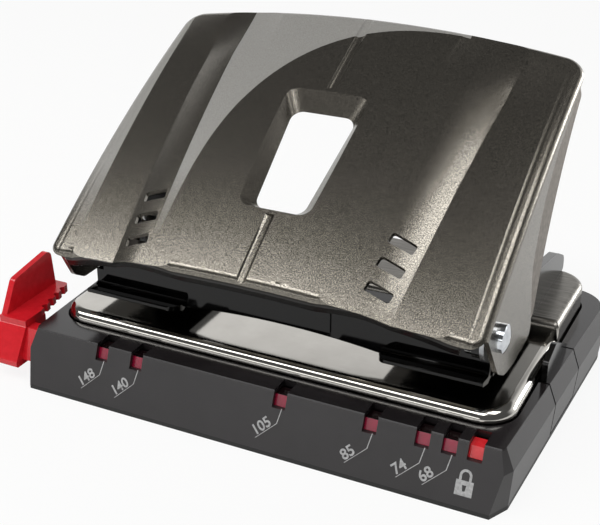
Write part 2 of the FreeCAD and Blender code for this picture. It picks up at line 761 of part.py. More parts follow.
def make_all():
    save(base_housing(), "base_housing")
    save(base_sole(), "base_sole")
    for number, (x, y) in enumerate(screw_spots, 1):
        head = rod(1.8, V(x, y, 0.05), V(0, 0, 0.5)).fuse(rod(0.95, V(x, y, 0.3), V(0, 0, 6.5)))
        save(head, "sole_screw_%d" % number)
    save(chip_tray(), "chip_tray")
    length = base_depth - 2 * sole_rim + 2
    save(rod(rod_r, V(hinge_x, -length / 2, hinge_z), V(0, length, 0)), "tray_hinge_rod")
    save(side_latch(), "side_latch")
    save(latch_thumb(), "latch_thumb")
    pin_length = latch_y1 - latch_y0 + 2 * latch_gap + 5
    start = V(latch_axis.x, latch_y0 - latch_gap - 2.5, latch_axis.z)
    save(rod(0.8, start, V(0, pin_length, 0)), "latch_pin")
    save(die_plate(), "die_plate")
    save_pair(die_bush(), "die_bush")
    save(punch_frame(), "punch_frame")
    save(front_fascia(), "front_fascia")
    for number, (x, y) in enumerate(rivet_spots, 1):
        save_pair(frame_rivet(x, y), "frame_rivet_%d" % number)
    save_pair(punch_guide(), "punch_guide")
    save_pair(pivot_pin(), "pivot_pin")
    save_pair(pivot_washer(), "pivot_washer")
    save(handle_shell(), "handle_shell")
    save_pair(lever_arm(), "lever_arm")
    save_pair(press_stud(), "press_stud")
    save_pair(punch_pin(), "punch_pin")
    save_pair(punch_cap(), "punch_cap")
    save_pair(return_spring(), "return_spring")
    save(guide_bar(), "guide_bar")


os.makedirs("parts", exist_ok=True)
make_all()
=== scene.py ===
# A manual two-hole desk punch: a pressed and painted steel handle over a black punch frame, on a
# polished die plate in a low moulded base, with a red paper guide that slides out at the left.
import math

import bpy
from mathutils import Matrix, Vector


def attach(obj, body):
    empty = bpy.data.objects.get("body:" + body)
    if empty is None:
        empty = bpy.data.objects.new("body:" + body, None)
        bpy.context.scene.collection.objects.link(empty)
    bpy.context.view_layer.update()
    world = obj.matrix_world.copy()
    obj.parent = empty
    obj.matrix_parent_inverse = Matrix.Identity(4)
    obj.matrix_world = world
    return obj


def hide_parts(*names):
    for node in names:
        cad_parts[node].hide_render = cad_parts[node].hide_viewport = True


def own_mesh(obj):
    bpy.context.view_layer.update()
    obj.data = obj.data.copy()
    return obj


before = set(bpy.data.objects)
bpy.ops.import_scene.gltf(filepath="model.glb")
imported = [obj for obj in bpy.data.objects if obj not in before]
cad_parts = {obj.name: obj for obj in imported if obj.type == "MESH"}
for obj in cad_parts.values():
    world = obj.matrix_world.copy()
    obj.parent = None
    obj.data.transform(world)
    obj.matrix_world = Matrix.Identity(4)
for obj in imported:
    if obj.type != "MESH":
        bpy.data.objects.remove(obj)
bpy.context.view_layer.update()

# The studio: a white paper floor and a white wall behind, in a dark room.  A long soft lamp hangs
# over the front edge and a square one over the right side; a low lamp in front and one behind on
# the right draw the bright lines along the folds.
scene = bpy.context.scene
scene.view_settings.view_transform = "Standard"
bpy.ops.object.select_all(action="DESELECT")


def linear(code):
    """sRGB hex value as linear red, green, blue and alpha."""
    parts = [int(code[place:place + 2], 16) / 255 for place in (0, 2, 4)]
    return [part / 12.92 if part <= 0.04045 else ((part + 0.055) / 1.055) ** 2.4 for part in parts] + [1.0]


def add(tree, kind, settings=None, links=None):
    """Adds one shader node, sets its properties, colour stops and sockets, and links sockets into it."""
    node = tree.nodes.new(kind)
    for name, value in (settings or {}).items():
        if name == "stops":
            for stop, (position, code) in zip(node.color_ramp.elements, value):
                stop.position, stop.color = position, linear(code)
        elif isinstance(name, str) and hasattr(node, name):
            setattr(node, name, value)
        else:
            node.inputs[name].default_value = value
    for name, socket in (links or {}).items():
        tree.links.new(socket, node.inputs[name])
    return node


def new_material(name):
    """An empty material and its node tree."""
    material = bpy.data.materials.new(name)
    material.use_nodes = True
    material.node_tree.nodes.clear()
    return material, material.node_tree


def finished(material, shader):
    """Joins the shader to the material's output."""
    output = add(material.node_tree, "ShaderNodeOutputMaterial")
    material.node_tree.links.new(shader.outputs[0], output.inputs["Surface"])
    return material


CAMERA_DOWN = 25.637
CAMERA_TURN = 26.101
camera_data = bpy.data.cameras.new("camera")
camera_data.sensor_width = 36.0
camera_data.lens = 70.0
camera = bpy.data.objects.new("camera", camera_data)
camera.location = (0.09992, -0.21391, 0.13937)
camera.rotation_euler = (math.radians(90 - CAMERA_DOWN), 0, math.radians(CAMERA_TURN))
scene.collection.objects.link(camera)
scene.camera = camera

ROOM_LEVEL = 0.10
WALL_TOP = (0.47, 0.60)
WALL_START = (0.15, 0.65)
world = bpy.data.worlds.new("studio")
scene.world = world
world.use_nodes = True
sky = world.node_tree
sky.nodes.clear()
direction = add(sky, "ShaderNodeTexCoord")
rise = add(sky, "ShaderNodeSeparateXYZ", None, {0: direction.outputs["Generated"]})
below_ceiling = add(
    sky, "ShaderNodeMapRange",
    {"interpolation_type": "SMOOTHSTEP", "From Min": WALL_TOP[0], "From Max": WALL_TOP[1],
     "To Min": 1.0, "To Max": 0.0},
    {"Value": rise.outputs["Z"]},
)
behind = add(
    sky, "ShaderNodeMapRange",
    {"interpolation_type": "SMOOTHSTEP", "From Min": WALL_START[0], "From Max": WALL_START[1]},
    {"Value": rise.outputs["Y"]},
)
wall = add(
    sky, "ShaderNodeMath", {"operation": "MULTIPLY"}, {0: below_ceiling.outputs[0], 1: behind.outputs[0]}
)
level = add(sky, "ShaderNodeMapRange", {"To Min": ROOM_LEVEL, "To Max": 1.0}, {"Value": wall.outputs[0]})
room = add(sky, "ShaderNodeBackground", {"Color": (1, 1, 1, 1)}, {"Strength": level.outputs[0]})
world_out = add(sky, "ShaderNodeOutputWorld")
sky.links.new(room.outputs[0], world_out.inputs["Surface"])

for name, place, turn, size, power in (
    ("ceiling_lamp", (-0.45, -0.41, 0.82), (0, 0, -9), (1.50, 0.36), 8.6),
    ("side_lamp", (0.38, -0.06, 0.82), (0, 25, 0), (0.34, 0.36), 1.8),
    ("front_lamp", (-0.42, -1.00, 0.24), (78, 0, -23), (1.20, 0.16), 1.3),
    ("rear_lamp", (0.62, 0.84, 0.17), (-82, 0, -36), (0.55, 0.30), 4.0),
):
    lamp_data = bpy.data.lights.new(name, "AREA")
    lamp_data.shape = "RECTANGLE"
    lamp_data.size, lamp_data.size_y = size
    lamp_data.energy = power
    lamp = bpy.data.objects.new(name, lamp_data)
    lamp.location = place
    lamp.rotation_euler = [math.radians(angle) for angle in turn]
    scene.collection.objects.link(lamp)

FLOOR_SIZE = 6.0
FLOOR_SEEN = 0.88
FLOOR_MIRRORED = 0.40
bpy.ops.mesh.primitive_plane_add(size=FLOOR_SIZE, location=(0, 0, 0))
floor = bpy.context.active_object
floor.name = "floor"
floor.select_set(False)
floor_paper, tree = new_material("white_studio_paper")
ray = add(tree, "ShaderNodeLightPath")
paper = add(tree, "ShaderNodeBsdfDiffuse", {"Color": linear("f2f2f0")})
glow = add(tree, "ShaderNodeEmission", {"Color": (1, 1, 1, 1), "Strength": 1.0})
seen = add(
    tree, "ShaderNodeMath", {"operation": "MAXIMUM"},
    {0: ray.outputs["Is Camera Ray"], 1: ray.outputs["Is Transmission Ray"]},
)
seen_glow = add(tree, "ShaderNodeMath", {"operation": "MULTIPLY", 1: FLOOR_SEEN}, {0: seen.outputs[0]})
mirrored_glow = add(
    tree, "ShaderNodeMath", {"operation": "MULTIPLY", 1: FLOOR_MIRRORED},
    {0: ray.outputs["Is Glossy Ray"]},
)
share = add(
    tree, "ShaderNodeMath", {"operation": "MAXIMUM"}, {0: seen_glow.outputs[0], 1: mirrored_glow.outputs[0]}
)
blend = add(
    tree, "ShaderNodeMixShader", None, {0: share.outputs[0], 1: paper.outputs[0], 2: glow.outputs[0]}
)
floor.data.materials.append(finished(floor_paper, blend))

# The housing, and the latch hinged in its side: charcoal ABS, injection moulded.  The sloping faces
# have a fine spark-eroded texture that looks satin, and the deck is polished and shows a soft sheen.


def paint(material, *names):
    """Gives CAD nodes their finish."""
    for name in names:
        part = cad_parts[name]
        if not part.material_slots:
            part.data.materials.append(material)
        for place in part.material_slots:
            place.material = material


def grain(tree, size_mm, detail=2.0, rough=0.6, stretch=None):
    """Pattern whose grains are about the given size, which is never finer than shows in a picture."""
    place = add(tree, "ShaderNodeTexCoord").outputs["Object"]
    if stretch:
        place = add(tree, "ShaderNodeMapping", {"Scale": stretch}, {"Vector": place}).outputs[0]
    return add(
        tree, "ShaderNodeTexNoise", {"Scale": 1000.0 / size_mm, "Detail": detail, "Roughness": rough},
        {"Vector": place},
    )


DECK_LEVEL = (0.0125, 0.0129)
housing_abs, tree = new_material("charcoal_moulded_abs")
spark = grain(tree, 0.45)
blotch = grain(tree, 9.0)
tone = add(
    tree, "ShaderNodeValToRGB", {"stops": ((0.3, "201d1e"), (0.7, "262324"))}, {0: blotch.outputs["Fac"]}
)
place = add(tree, "ShaderNodeTexCoord")
level = add(tree, "ShaderNodeSeparateXYZ", None, {0: place.outputs["Object"]})
on_deck = add(
    tree, "ShaderNodeMapRange", {"From Min": DECK_LEVEL[0], "From Max": DECK_LEVEL[1]},
    {"Value": level.outputs["Z"]},
)
gloss = add(
    tree, "ShaderNodeMapRange", {"To Min": 0.34, "To Max": 0.16}, {"Value": on_deck.outputs[0]}
)
depth = add(
    tree, "ShaderNodeMapRange", {"To Min": 0.35, "To Max": 0.02}, {"Value": on_deck.outputs[0]}
)
texture = add(
    tree, "ShaderNodeBump", {"Distance": 0.00003},
    {"Height": spark.outputs["Fac"], "Strength": depth.outputs[0]},
)
housing_skin = add(
    tree, "ShaderNodeBsdfPrincipled", {"Specular IOR Level": 0.65},
    {"Base Color": tone.outputs[0], "Roughness": gloss.outputs[0], "Normal": texture.outputs[0]},
)
paint(finished(housing_abs, housing_skin), "base_housing", "side_latch")

# The latch's thumb piece: black ABS from a polished mould, snapped over the latch, so that it shines
# beside the satin housing.


def plastic(name, dark, light, rough, size_mm, depth_mm, gloss=0.5):
    """Moulded plastic: nearly one colour, with the fine texture of its mould."""
    material, tree = new_material(name)
    texture = grain(tree, size_mm)
    tone = add(
        tree, "ShaderNodeValToRGB", {"stops": ((0.3, dark), (0.7, light))}, {0: texture.outputs["Fac"]}
    )
    relief = add(
        tree, "ShaderNodeBump", {"Strength": 0.3, "Distance": depth_mm / 1000},
        {"Height": texture.outputs["Fac"]},
    )
    skin = add(
        tree, "ShaderNodeBsdfPrincipled", {"Roughness": rough, "Specular IOR Level": gloss},
        {"Base Color": tone.outputs[0], "Normal": relief.outputs[0]},
    )
    return finished(material, skin)


paint(plastic("polished_black_thumb", "0b0b0b", "101010", 0.14, 1.4, 0.006, 0.6), "latch_thumb")

# Sole and chip tray: moulded black polypropylene, which looks dull and a little waxy.  The sole is
# screwed up under the walls, and the tray swings on a steel rod inside it.  Screws, rod and the
# latch's pin are zinc plated, a soft cold grey.


def metal(name, dark, light, rough, size_mm, stretch=None):
    """Bare metal with the fine streaks that its making leaves."""
    material, tree = new_material(name)
    streak = grain(tree, size_mm, 3.0, 0.5, stretch)
    tone = add(
        tree, "ShaderNodeValToRGB", {"stops": ((0.3, dark), (0.7, light))}, {0: streak.outputs["Fac"]}
    )
    wear = add(
        tree, "ShaderNodeMapRange", {"To Min": rough * 0.8, "To Max": rough * 1.25},
        {"Value": streak.outputs["Fac"]},
    )
    skin = add(
        tree, "ShaderNodeBsdfPrincipled", {"Metallic": 1.0},
        {"Base Color": tone.outputs[0], "Roughness": wear.outputs[0]},
    )
    return finished(material, skin)


paint(plastic("black_polypropylene", "0c0c0c", "151515", 0.5, 0.7, 0.02), "base_sole", "chip_tray")
zinc = metal("zinc_plated_steel", "8f9294", "b9bbbc", 0.32, 0.8)
paint(zinc, "tray_hinge_rod", "latch_pin", *["sole_screw_%d" % number for number in range(1, 5)])

# The die plate: steel sheet, drawn over the deck and nickel plated.  Its table is buffed, so that it
# mirrors what stands above it, and its raised rear part is left brushed, with streaks along it, and
# painted a darker grey as painted shade, standing in for the dark reflections there.
PLATE_STEP = (0.0158, 0.0185)
nickel, tree = new_material("buffed_nickel_plating")
haze = grain(tree, 7.0, 3.0, 0.5)
buff = grain(tree, 0.5, 2.0, 0.5, (0.08, 1, 1))
place = add(tree, "ShaderNodeTexCoord")
where = add(tree, "ShaderNodeSeparateXYZ", None, {0: place.outputs["Object"]})
brushed_and_shaded = add(
    tree, "ShaderNodeMapRange", {"From Min": PLATE_STEP[0], "From Max": PLATE_STEP[1]},
    {"Value": where.outputs["Z"]},
)
mirror = add(
    tree, "ShaderNodeValToRGB", {"stops": ((0.3, "bfbcb6"), (0.7, "cbc8c2"))}, {0: haze.outputs["Fac"]}
)
# The darker grey of the raised rear part is painted shade; the same mask also makes it rougher.
painted_shade_grey = add(
    tree, "ShaderNodeValToRGB", {"stops": ((0.3, "6f6c67"), (0.7, "95928c"))}, {0: buff.outputs["Fac"]}
)
tone = add(
    tree, "ShaderNodeMix", {"data_type": "RGBA"},
    {0: brushed_and_shaded.outputs[0], 6: mirror.outputs[0], 7: painted_shade_grey.outputs[0]},
)
wear = add(
    tree, "ShaderNodeMapRange", {"To Min": 0.07, "To Max": 0.15}, {"Value": haze.outputs["Fac"]}
)
rough = add(
    tree, "ShaderNodeMath", {"operation": "MULTIPLY_ADD", 1: 0.22},
    {0: brushed_and_shaded.outputs[0], 2: wear.outputs[0]},
)
scuff = add(
    tree, "ShaderNodeBump", {"Strength": 0.12, "Distance": 0.00001}, {"Height": buff.outputs["Fac"]}
)
nickel_skin = add(
    tree, "ShaderNodeBsdfPrincipled", {"Metallic": 1.0},
    {"Base Color": tone.outputs[2], "Roughness": rough.outputs[0], "Normal": scuff.outputs[0]},
)
paint(finished(nickel, nickel_skin), "die_plate")

# Punches, their guides and the die bushes: tool steel, turned, hardened and ground, with fine rings
# round each that make a dull shine.  The guides are pressed into the frame, the bushes into the plate.


def both(name):
    """The left and the right node of a pair."""
    return name + "_left", name + "_right"


ground = metal("ground_tool_steel", "8d8d8c", "b5b5b3", 0.28, 0.7, (1, 1, 0.1))
paint(ground, *both("punch_pin"), *both("punch_guide"), *both("die_bush"))

# Return springs: drawn steel wire, wound cold and left bright.  Each coil stands on its punch guide
# round the punch, and is fixed to the base here, so it does not shorten as its cap comes down.
MERGE = 0.000004
spring_wire = metal("drawn_spring_wire", "9a9a98", "c6c6c4", 0.25, 0.4)
for side in ("left", "right"):
    coil = bpy.data.objects.new("coil_" + side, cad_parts["return_spring_" + side].data.copy())
    scene.collection.objects.link(coil)
    bpy.context.view_layer.objects.active = coil
    coil.select_set(True)
    bpy.ops.object.mode_set(mode="EDIT")
    bpy.ops.mesh.select_all(action="SELECT")
    bpy.ops.mesh.remove_doubles(threshold=MERGE)
    bpy.ops.object.mode_set(mode="OBJECT")
    coil.select_set(False)
    coil.data.materials.clear()
    coil.data.materials.append(spring_wire)
    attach(coil, "base")
    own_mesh(coil)
    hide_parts("return_spring_" + side)

# Caps: black acetal, moulded, with the slight gloss of a slippery plastic.  Each is pushed on to the
# neck of its punch and holds its spring.
paint(plastic("black_acetal", "101010", "181818", 0.4, 0.6, 0.01), *both("punch_cap"))

# The frame: steel sheet, cut, bent up and stoved in black enamel, deep and glossy with a faint
# orange peel.  Zinc-plated rivets hold it through the die plate.
paint(plastic("black_enamel", "060606", "090909", 0.14, 2.5, 0.005, 0.4), "punch_frame")
paint(zinc, *both("frame_rivet_1"), *both("frame_rivet_2"))

# The fascia in front of the frame: black ABS from a polished mould, clipped over the frame's front
# edge, black as glass.
paint(plastic("polished_black_fascia", "040404", "070707", 0.07, 3.0, 0.003, 0.35), "front_fascia")

# The paper guide: glossy red ABS, one moulding that slides behind the front face.  The head is deep
# red; the bar behind the notches is painted a darker crimson under a black top, as painted shade of the
# notches, and the end, which shows in the last notch when the guide is home, is painted a brighter red
# as a painted highlight.
GUIDE_HEAD_END = -0.0535
GUIDE_PAINTED_LIT_END = 0.0468
GUIDE_SHADED_TOP = 0.01175
red_abs, tree = new_material("polished_red_abs")
swirl = grain(tree, 1.5)
deep = add(
    tree, "ShaderNodeValToRGB", {"stops": ((0.3, "d01a25"), (0.7, "dc222d"))}, {0: swirl.outputs["Fac"]}
)
# The darker crimson of the bar is painted shade of the deep notches.
shaded_crimson = add(
    tree, "ShaderNodeValToRGB", {"stops": ((0.3, "8c1030"), (0.7, "9a1438"))}, {0: swirl.outputs["Fac"]}
)
# The brighter red of the end is a painted highlight, where the real end stands lit in the last notch.
painted_highlight_red = add(
    tree, "ShaderNodeValToRGB", {"stops": ((0.3, "d8262c"), (0.7, "e23138"))}, {0: swirl.outputs["Fac"]}
)
place = add(tree, "ShaderNodeTexCoord")
where = add(tree, "ShaderNodeSeparateXYZ", None, {0: place.outputs["Object"]})
in_housing = add(
    tree, "ShaderNodeMath", {"operation": "GREATER_THAN", 1: GUIDE_HEAD_END}, {0: where.outputs["X"]}
)
lit_end = add(
    tree, "ShaderNodeMath", {"operation": "GREATER_THAN", 1: GUIDE_PAINTED_LIT_END}, {0: where.outputs["X"]}
)
# The black top of the bar inside the housing is painted shade of the notches.
on_top = add(
    tree, "ShaderNodeMath", {"operation": "GREATER_THAN", 1: GUIDE_SHADED_TOP}, {0: where.outputs["Z"]}
)
painted_shade_top = add(
    tree, "ShaderNodeMix", {"data_type": "RGBA", 7: linear("14080a")},
    {0: on_top.outputs[0], 6: shaded_crimson.outputs[0]},
)
bar = add(
    tree, "ShaderNodeMix", {"data_type": "RGBA"},
    {0: in_housing.outputs[0], 6: deep.outputs[0], 7: painted_shade_top.outputs[2]},
)
tone = add(
    tree, "ShaderNodeMix", {"data_type": "RGBA"},
    {0: lit_end.outputs[0], 6: bar.outputs[2], 7: painted_highlight_red.outputs[0]},
)
relief = add(
    tree, "ShaderNodeBump", {"Strength": 0.3, "Distance": 0.00001}, {"Height": swirl.outputs["Fac"]}
)
red_skin = add(
    tree, "ShaderNodeBsdfPrincipled", {"Roughness": 0.2, "Specular IOR Level": 0.6},
    {"Base Color": tone.outputs[2], "Normal": relief.outputs[0]},
)
paint(finished(red_abs, red_skin), "guide_bar")

# The handle: one sheet of steel, pressed with two hollows and a centre groove, folded down all round,
# and stoved in a metallic graphite enamel that glitters finely.  A flatter silver grey is sprayed
# over a mask, and the edge of the front fold is painted darker, as painted shade.
PIVOT = Vector((0, -0.0248, 0.0315))
SLOPE = math.radians(31.1)
SWEEP_CENTRE = (23.62, 11.74)
SWEEP_REACH = (46.19, 53.43)
SWEEP_POWER = 2.41
HOLLOW_EDGE = (-23.75, -0.0907)
SLIVER_EDGE = (-42.9, -0.055)
GREY_FLOOR = 5.0
GREY_FADE = 0.06
SHADED_RIM_START = -7.2
graphite, tree = new_material("metallic_graphite_enamel")

# X across, Y along the lever and Z square to it, in millimetres from the pivot.
place = add(tree, "ShaderNodeTexCoord")
from_pivot = add(
    tree, "ShaderNodeVectorMath", {"operation": "SUBTRACT", 1: PIVOT}, {0: place.outputs["Object"]}
)
turned = add(
    tree, "ShaderNodeVectorRotate", {"rotation_type": "X_AXIS", "Angle": -SLOPE},
    {"Vector": from_pivot.outputs[0]},
)
lever = add(tree, "ShaderNodeVectorMath", {"operation": "SCALE", "Scale": 1000.0}, {0: turned.outputs[0]})
axes = add(tree, "ShaderNodeSeparateXYZ", None, {0: lever.outputs[0]})
across = axes.outputs["X"]
along = axes.outputs["Y"]
height = axes.outputs["Z"]

# The curved edge of the grey is a quarter of a squared ellipse, its straight edge is the hollow's,
# and a second, narrow field lies outside the hollow.
powers = []
for distance, centre, reach, one_sided in (
    (across, SWEEP_CENTRE[0], SWEEP_REACH[0], "ABSOLUTE"),
    (along, SWEEP_CENTRE[1], SWEEP_REACH[1], "MAXIMUM"),
):
    offset = add(tree, "ShaderNodeMath", {"operation": "SUBTRACT", 1: centre}, {0: distance})
    share = add(tree, "ShaderNodeMath", {"operation": "DIVIDE", 1: reach}, {0: offset.outputs[0]})
    size = add(tree, "ShaderNodeMath", {"operation": one_sided, 1: 0.0}, {0: share.outputs[0]})
    power = add(tree, "ShaderNodeMath", {"operation": "POWER", 1: SWEEP_POWER}, {0: size.outputs[0]})
    powers.append(power.outputs[0])
total = add(tree, "ShaderNodeMath", {"operation": "ADD"}, {0: powers[0], 1: powers[1]})
outside = add(tree, "ShaderNodeMath", {"operation": "GREATER_THAN", 1: 1.0}, {0: total.outputs[0]})
left_half = add(tree, "ShaderNodeMath", {"operation": "LESS_THAN", 1: SWEEP_CENTRE[0]}, {0: across})
hollow_edge = add(
    tree, "ShaderNodeMath", {"operation": "MULTIPLY_ADD", 1: HOLLOW_EDGE[1], 2: HOLLOW_EDGE[0]}, {0: along}
)
inside_edge = add(
    tree, "ShaderNodeMath", {"operation": "GREATER_THAN"}, {0: across, 1: hollow_edge.outputs[0]}
)
left_field = add(
    tree, "ShaderNodeMath", {"operation": "MULTIPLY"}, {0: outside.outputs[0], 1: left_half.outputs[0]}
)
band = add(
    tree, "ShaderNodeMath", {"operation": "MULTIPLY"}, {0: left_field.outputs[0], 1: inside_edge.outputs[0]}
)
sliver_edge = add(
    tree, "ShaderNodeMath", {"operation": "MULTIPLY_ADD", 1: SLIVER_EDGE[1], 2: SLIVER_EDGE[0]}, {0: along}
)
sliver = add(tree, "ShaderNodeMath", {"operation": "LESS_THAN"}, {0: across, 1: sliver_edge.outputs[0]})
either = add(tree, "ShaderNodeMath", {"operation": "MAXIMUM"}, {0: band.outputs[0], 1: sliver.outputs[0]})
on_top = add(tree, "ShaderNodeMath", {"operation": "GREATER_THAN", 1: GREY_FLOOR}, {0: height})
both_greys = add(
    tree, "ShaderNodeMath", {"operation": "MULTIPLY"}, {0: either.outputs[0], 1: on_top.outputs[0]}
)
fade = add(
    tree, "ShaderNodeMath", {"operation": "MULTIPLY", "use_clamp": True, 1: GREY_FADE}, {0: along}
)
grey = add(
    tree, "ShaderNodeMath", {"operation": "MULTIPLY"}, {0: both_greys.outputs[0], 1: fade.outputs[0]}
)
# The edge of the front fold is painted dark, as painted shade.
painted_shade_rim = add(tree, "ShaderNodeMath", {"operation": "LESS_THAN", 1: SHADED_RIM_START}, {0: along})

# Metal flakes about a fifth of a millimetre across: coarser than the real ones, so that they show.
flake = add(
    tree, "ShaderNodeTexNoise", {"Scale": 4.5, "Detail": 2.0, "Roughness": 0.8},
    {"Vector": lever.outputs[0]},
)
speckle = add(
    tree, "ShaderNodeValToRGB", {"stops": ((0.32, "3d3b36"), (0.70, "a09a8f"))}, {0: flake.outputs["Fac"]}
)
silver = add(
    tree, "ShaderNodeValToRGB", {"stops": ((0.34, "8f8d89"), (0.68, "a8a6a1"))}, {0: flake.outputs["Fac"]}
)
colour = add(
    tree, "ShaderNodeMix", {"data_type": "RGBA"},
    {0: grey.outputs[0], 6: speckle.outputs[0], 7: silver.outputs[0]},
)
rim_painted_shade = add(
    tree, "ShaderNodeMix", {"data_type": "RGBA", 7: linear("1d1b18")},
    {0: painted_shade_rim.outputs[0], 6: colour.outputs[2]},
)
metallic = add(
    tree, "ShaderNodeMapRange", {"To Min": 0.95, "To Max": 0.25}, {"Value": grey.outputs[0]}
)
rough = add(tree, "ShaderNodeMapRange", {"To Min": 0.27, "To Max": 0.5}, {"Value": grey.outputs[0]})
orange_peel = add(
    tree, "ShaderNodeBump", {"Strength": 0.25, "Distance": 0.00004}, {"Height": flake.outputs["Fac"]}
)
enamel_skin = add(
    tree, "ShaderNodeBsdfPrincipled", {"Coat Weight": 0.35, "Coat Roughness": 0.12},
    {"Base Color": rim_painted_shade.outputs[2], "Metallic": metallic.outputs[0], "Roughness": rough.outputs[0],
     "Normal": orange_peel.outputs[0]},
)
finished(graphite, enamel_skin)
paint(graphite, "handle_shell")

# The shell's pressing, finished: each hollow gets a soft shoulder on its inner side and a crisp line
# at its foot, and a fine groove runs beside each side fold.  The sheet is cut along those lines so
# that it bends there, and its shading follows the crown and the bends exactly.
CROWN_TOP = 13.4
CROWN_R = 223.0
LONG_R = 341.0
CROWN_MID = 29.5
BOWL_X = 35.2
BOWL_R = 46.6
BOWL_DEPTH = (1.62, -0.0209)
SHOULDER = (24.7, 0.05)
FOOT = (31.6, 0.085)
HOLLOW_DROP = 1.25
HOLLOW_START = 16
FOLD_START = 46.0
GROOVE_X = 46.1
GROOVE_HALF = 0.6
GROOVE_DEPTH = 0.08
FRONT_FOLD = -5.2
REAR_FOLD = 64.5
REAR_RUN = 16
SHEET_FLOOR = 4
FULL_BEND = 5
CENTRE_GROOVE_HALF = 4.5
WINDOW_FRONT = 9
STEP = 0.02
ON_CUT = 0.000002
UP_LEVER = Vector((0, math.cos(SLOPE), math.sin(SLOPE)))
OFF_LEVER = Vector((0, -math.sin(SLOPE), math.cos(SLOPE)))
ACROSS = Vector((1, 0, 0))


def crown(x, u):
    """Height of the plain crowned sheet, in millimetres, at x across and u up the lever."""
    crest = CROWN_TOP - CROWN_R + math.sqrt(CROWN_R ** 2 - x ** 2)
    axis = CROWN_TOP - LONG_R
    return axis + math.sqrt((crest - axis) ** 2 - (u - CROWN_MID) ** 2)


def bowl(x, u):
    """Depth of the plain round-bottomed hollow that the solid has there."""
    offset = x - BOWL_X
    crown_fall = offset * BOWL_X / CROWN_R + offset ** 2 / (2 * CROWN_R)
    deepest = BOWL_DEPTH[0] + BOWL_DEPTH[1] * u
    return max(deepest - crown_fall - offset ** 2 / (2 * BOWL_R), 0)


def pressed(x, u):
    """Depth of the finished hollow and of the groove beside the fold; the plain bowl at the rear."""
    shoulder = SHOULDER[0] + SHOULDER[1] * u
    foot = FOOT[0] + FOOT[1] * u
    if x < foot:
        share = max((x - shoulder) / (foot - shoulder), 0) ** 1.5
    else:
        share = max((FOLD_START - x) / (FOLD_START - foot), 0)
    groove = max(1 - ((x - GROOVE_X) / GROOVE_HALF) ** 2, 0) ** 2
    full = min(max((REAR_FOLD + 1 - u) / REAR_RUN, 0), 1)
    full = full * full * (3 - 2 * full)
    return bowl(x, u) * (1 - full) + (HOLLOW_DROP * share + GROOVE_DEPTH * groove) * full


def finished_height(x, u):
    """Height of the finished sheet."""
    return crown(x, u) - pressed(x, u)


def bend(x, u):
    """How far the finished sheet lies above the solid's."""
    return bowl(x, u) - pressed(x, u)


def slope_of(height, x, u, side):
    """Gradient of a height over the sheet, as a vector."""
    across = (height(x + STEP, u) - height(x - STEP, u)) / (2 * STEP)
    along = (height(x, u + STEP) - height(x, u - STEP)) / (2 * STEP)
    return ACROSS * across * side + UP_LEVER * along


def on_sheet(place):
    """Distance across, place up the lever and height off it, in millimetres, and the side."""
    from_pivot = place - PIVOT
    side = -1 if from_pivot.x < 0 else 1
    u = from_pivot.dot(UP_LEVER) * 1000
    w = from_pivot.dot(OFF_LEVER) * 1000
    return abs(from_pivot.x) * 1000, u, w, side


def pressed_normal(normal, place):
    """The solid's normal at a place, turned to the finished sheet's."""
    x, u, w, side = on_sheet(place)
    facing = normal.dot(OFF_LEVER)
    hollowed = HOLLOW_START < x < GROOVE_X + GROOVE_HALF
    plain = hollowed or (CENTRE_GROOVE_HALF < x <= HOLLOW_START and u < WINDOW_FRONT)
    if plain and abs(facing) > 0.8 and FRONT_FOLD < u < REAR_FOLD and w > SHEET_FLOOR:
        sheet = OFF_LEVER - slope_of(finished_height, x, u, side)
        return sheet.normalized() * math.copysign(1, facing)
    if hollowed and w > SHEET_FLOOR:
        return (normal - slope_of(bend, x, u, side) * facing).normalized()
    return normal


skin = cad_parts["handle_shell"].data.copy()
shell = bpy.data.objects.new("pressed_handle", skin)
scene.collection.objects.link(shell)
bpy.context.view_layer.objects.active = shell
shell.select_set(True)
normals = [0.0] * (3 * len(skin.loops))
skin.corner_normals.foreach_get("vector", normals)
skin.attributes.new("solid_normal", "FLOAT_VECTOR", "CORNER").data.foreach_set("vector", normals)
bpy.ops.mesh.customdata_custom_splitnormals_clear()

cuts = []
for u in (FRONT_FOLD, 2, 10, 18, 26, 34, 42, 50, 54, 58, 62):
    cuts.append((PIVOT + UP_LEVER * u / 1000, UP_LEVER))
lines = [(x, 0.0) for x in (18, 21, 38, 40, 42, 44, 45.5, 45.8, 46.1, 46.4, 46.7)]
for part in range(8):
    between = part / 7
    start = SHOULDER[0] + (FOOT[0] - SHOULDER[0]) * between
    spread = SHOULDER[1] + (FOOT[1] - SHOULDER[1]) * between
    lines.append((start, spread))
for start, spread in lines:
    for side in (-1, 1):
        cuts.append((PIVOT + ACROSS * side * start / 1000, ACROSS * side - UP_LEVER * spread))

bpy.ops.object.mode_set(mode="EDIT")
bpy.ops.mesh.select_all(action="SELECT")
bpy.ops.mesh.remove_doubles(threshold=MERGE)
for plane_co, plane_no in cuts:
    bpy.ops.mesh.select_all(action="SELECT")
    bpy.ops.mesh.bisect(plane_co=plane_co, plane_no=plane_no, threshold=ON_CUT)
bpy.ops.object.mode_set(mode="OBJECT")

